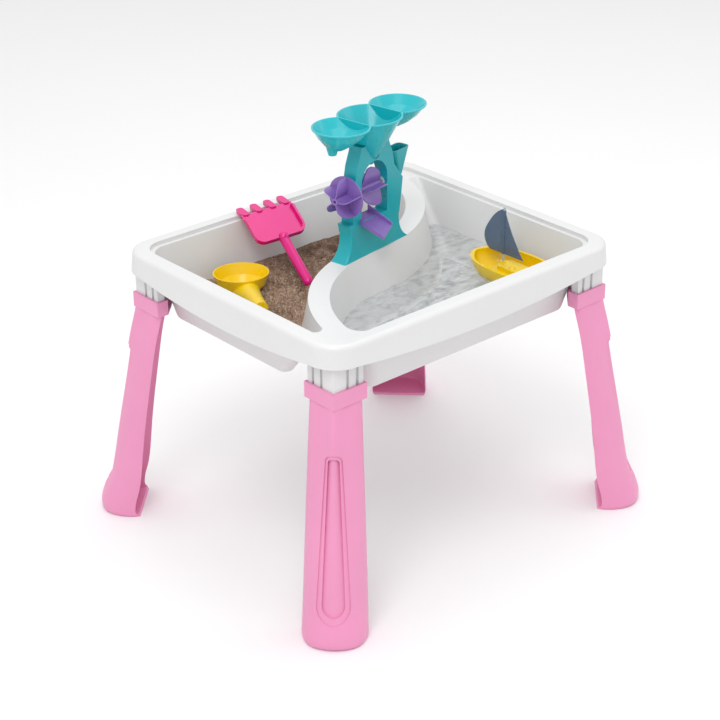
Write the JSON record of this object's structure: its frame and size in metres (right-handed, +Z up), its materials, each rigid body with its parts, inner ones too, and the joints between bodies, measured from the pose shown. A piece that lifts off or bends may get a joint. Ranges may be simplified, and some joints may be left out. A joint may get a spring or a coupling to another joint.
{
  "type": "sand and water play table",
  "caption": "Child's sand and water table: two basins in one tray on splayed channel legs, with a lift-off funnel tower and water wheels, and a loose rake, scoop and sailing boat.",
  "frame": {"origin": "on the floor under the middle of the tray", "axes": "+Z up, +X along the long side of the tray, +Y along the short side towards the sand basin's side"},
  "size_m": [0.6952, 0.6092, 0.6615],
  "materials": {
    "white_plastic": "satin white moulded plastic",
    "pink_plastic": "satin pink moulded plastic",
    "teal_plastic": "satin teal moulded plastic",
    "cup_plastic": "glossy teal moulded plastic",
    "purple_plastic": "satin purple moulded plastic",
    "magenta_plastic": "glossy magenta moulded plastic",
    "yellow_plastic": "glossy yellow moulded plastic",
    "sail_plastic": "smooth slate-blue sheet, slightly see-through",
    "mast_plastic": "smooth pale moulded plastic",
    "bush_plastic": "plain moulded bearing plastic",
    "screw_steel": "zinc-plated screws",
    "axle_steel": "ground steel pin"
  },
  "bodies": {
    "tray": {"tray": "white_plastic", "leg_front_left": "pink_plastic", "leg_front_right": "pink_plastic", "leg_back_left": "pink_plastic", "leg_back_right": "pink_plastic", "leg_screws": "screw_steel"},
    "tower": {"tower_front": "teal_plastic", "tower_back": "teal_plastic", "tower_screws": "screw_steel", "side_hopper": "teal_plastic", "chute": "purple_plastic", "axle_bush_left": "bush_plastic", "axle_bush_right": "bush_plastic"},
    "cups": {"cup_tray": "cup_plastic"},
    "wheels": {"wheel_outer": "purple_plastic", "wheel_inner": "purple_plastic", "wheel_axle": "axle_steel"},
    "rake": {"rake": "magenta_plastic"},
    "scoop": {"scoop": "yellow_plastic"},
    "boat": {"boat_hull": "yellow_plastic", "boat_deck": "yellow_plastic", "boat_mast": "mast_plastic", "boat_sail": "sail_plastic"}
  },
  "joints": [
    {"name": "tower_lift", "type": "slide", "parent": "tray", "child": "tower", "axis": [0, 0, 1], "range_m": [0, 0.06]},
    {"name": "cups_lift", "type": "slide", "parent": "tower", "child": "cups", "axis": [0, 0, 1], "range_m": [0, 0.09]},
    {"name": "wheels_spin", "type": "hinge", "parent": "tower", "child": "wheels", "pos_m": [0, 0, 0.5482], "axis": [0.9857, 0.1685, 0], "continuous": true},
    {"name": "rake_lift", "type": "slide", "parent": "tray", "child": "rake", "axis": [0, 0, 1], "range_m": [0, 0.12]},
    {"name": "scoop_lift", "type": "slide", "parent": "tray", "child": "scoop", "axis": [0, 0, 1], "range_m": [0, 0.12]},
    {"name": "boat_lift", "type": "slide", "parent": "tray", "child": "boat", "axis": [0, 0, 1], "range_m": [0, 0.12]}
  ]
}
